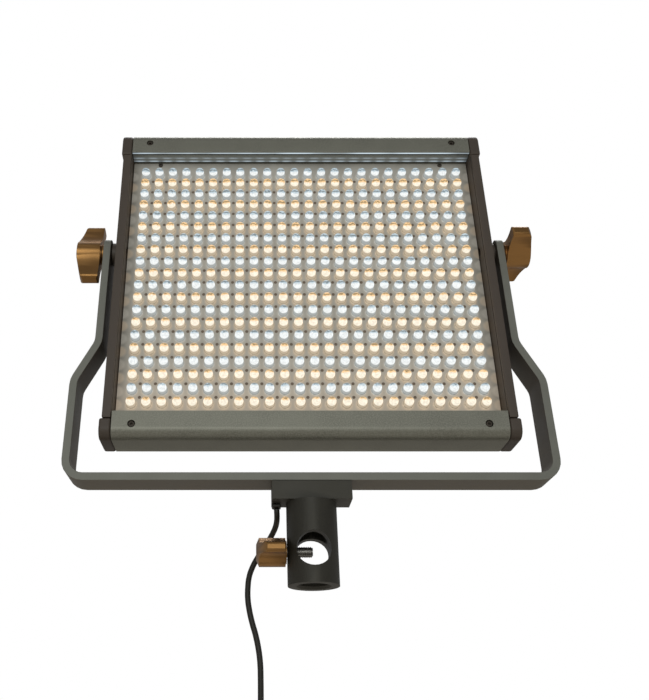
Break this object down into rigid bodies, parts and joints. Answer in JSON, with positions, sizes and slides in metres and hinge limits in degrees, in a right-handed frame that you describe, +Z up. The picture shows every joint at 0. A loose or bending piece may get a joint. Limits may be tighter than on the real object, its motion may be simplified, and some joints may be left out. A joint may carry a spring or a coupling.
{
  "type": "led panel light",
  "caption": "Flat bi-colour LED panel light that tilts in a U bracket with two wing lock knobs and a 16 mm stand receiver.",
  "frame": {"origin": "centre of the stand receiver's bottom mouth, where a stand spigot enters", "axes": "+Z up the receiver's axis, -Y the way the lamp shines, +X to the right seen from the lit side"},
  "size_m": [0.2896, 0.0604, 0.448],
  "materials": {
    "aluminium_bars": "fine bead-blasted grey anodising, satin",
    "side_plastic": "fine moulded grain, dark brown-black",
    "rear_plastic": "moulded grain, black",
    "control_plastic": "smooth matt black",
    "bracket_metal": "satin grey coating",
    "receiver_metal": "black coated casting, satin",
    "bronze_knobs": "bronze anodised, satin metallic",
    "bright_steel": "zinc plated, turned",
    "dark_steel": "blackened steel",
    "led_board": "light grey solder mask, semi-matt",
    "circuit_board": "green solder mask",
    "cool_leds": "clear domes, cool white, lit",
    "warm_leds": "clear domes, warm white, lit",
    "cord_rubber": "matt black flexible PVC"
  },
  "bodies": {
    "bracket": {"u_bracket": "bracket_metal", "stand_receiver": "receiver_metal", "cord_gland": "cord_rubber", "cord_lead": "cord_rubber", "cord_coil": "cord_rubber", "cord_tail": "cord_rubber", "dc_plug": "cord_rubber"},
    "head": {"top_bar": "aluminium_bars", "bottom_bar": "aluminium_bars", "corner_cap_top_left": "side_plastic", "corner_cap_top_right": "side_plastic", "corner_cap_bottom_left": "side_plastic", "corner_cap_bottom_right": "side_plastic", "side_rail_left": "side_plastic", "side_rail_right": "side_plastic", "friction_washer_left": "side_plastic", "friction_washer_right": "side_plastic", "bar_screw_top_left": "dark_steel", "bar_screw_top_right": "dark_steel", "bar_screw_bottom_left": "dark_steel", "bar_screw_bottom_right": "dark_steel", "led_board": "led_board", "cool_led_row_01": "cool_leds", "warm_led_row_02": "warm_leds", "cool_led_row_03": "cool_leds", "warm_led_row_04": "warm_leds", "cool_led_row_05": "cool_leds", "warm_led_row_06": "warm_leds", "cool_led_row_07": "cool_leds", "warm_led_row_08": "warm_leds", "cool_led_row_09": "cool_leds", "warm_led_row_10": "warm_leds", "cool_led_row_11": "cool_leds", "warm_led_row_12": "warm_leds", "cool_led_row_13": "cool_leds", "warm_led_row_14": "warm_leds", "cool_led_row_15": "cool_leds", "warm_led_row_16": "warm_leds", "cool_led_row_17": "cool_leds", "warm_led_row_18": "warm_leds", "cool_led_row_19": "cool_leds", "warm_led_row_20": "warm_leds", "driver_board": "circuit_board", "rear_cover": "rear_plastic", "battery_plate_left": "rear_plastic", "battery_plate_right": "rear_plastic", "dc_inlet": "control_plastic"},
    "left_stud": {"lock_stud_left": "bright_steel", "knob_washer_left": "bronze_knobs"},
    "left_knob": {"lock_knob_left": "bronze_knobs"},
    "right_stud": {"lock_stud_right": "bright_steel", "knob_washer_right": "bronze_knobs"},
    "right_knob": {"lock_knob_right": "bronze_knobs"},
    "clamp_stud": {"clamp_stud": "bright_steel"},
    "clamp_knob": {"clamp_knob": "bronze_knobs"},
    "brightness_dial": {"brightness_dial": "control_plastic"},
    "temperature_dial": {"temperature_dial": "control_plastic"},
    "power_rocker": {"power_rocker": "control_plastic"},
    "left_latch": {"battery_latch_left": "side_plastic"},
    "right_latch": {"battery_latch_right": "side_plastic"}
  },
  "joints": [
    {"name": "panel_tilt", "type": "hinge", "parent": "bracket", "child": "head", "pos_m": [0, 0, 0.208], "axis": [1, 0, 0], "range_deg": [-180, 180]},
    {"name": "left_stud_travel", "type": "slide", "parent": "head", "child": "left_stud", "axis": [-1, 0, 0], "range_m": [0, 0.00375]},
    {"name": "left_knob_turn", "type": "hinge", "parent": "left_stud", "child": "left_knob", "pos_m": [-0.13, 0, 0.208], "axis": [-1, 0, 0], "range_deg": [0, 1080]},
    {"name": "right_stud_travel", "type": "slide", "parent": "head", "child": "right_stud", "axis": [1, 0, 0], "range_m": [0, 0.00375]},
    {"name": "right_knob_turn", "type": "hinge", "parent": "right_stud", "child": "right_knob", "pos_m": [0.13, 0, 0.208], "axis": [1, 0, 0], "range_deg": [0, 1080]},
    {"name": "clamp_stud_travel", "type": "slide", "parent": "bracket", "child": "clamp_stud", "axis": [-1, 0, 0], "range_m": [0, 0.01]},
    {"name": "clamp_knob_turn", "type": "hinge", "parent": "clamp_stud", "child": "clamp_knob", "pos_m": [-0.016, 0, 0.018], "axis": [-1, 0, 0], "range_deg": [0, 3600]},
    {"name": "brightness_turn", "type": "hinge", "parent": "head", "child": "brightness_dial", "pos_m": [0.02, 0.03, 0.136], "axis": [0, 1, 0], "range_deg": [0, 280]},
    {"name": "temperature_turn", "type": "hinge", "parent": "head", "child": "temperature_dial", "pos_m": [-0.02, 0.03, 0.136], "axis": [0, 1, 0], "range_deg": [0, 280]},
    {"name": "power_rock", "type": "hinge", "parent": "head", "child": "power_rocker", "pos_m": [0.05, 0.021, 0.136], "axis": [1, 0, 0], "range_deg": [0, 12.5]},
    {"name": "left_latch_press", "type": "slide", "parent": "head", "child": "left_latch", "axis": [0, -1, 0], "range_m": [0, 0.002], "stiffness_N_per_m": 400, "springref_m": -0.001},
    {"name": "right_latch_press", "type": "slide", "parent": "head", "child": "right_latch", "axis": [0, -1, 0], "range_m": [0, 0.002], "stiffness_N_per_m": 400, "springref_m": -0.001}
  ],
  "couplings": [
    {"joint": "left_stud_travel", "follows": "left_knob_turn", "m_per_rad": 0.00019894},
    {"joint": "right_stud_travel", "follows": "right_knob_turn", "m_per_rad": 0.00019894},
    {"joint": "clamp_stud_travel", "follows": "clamp_knob_turn", "m_per_rad": 0.00015915}
  ]
}
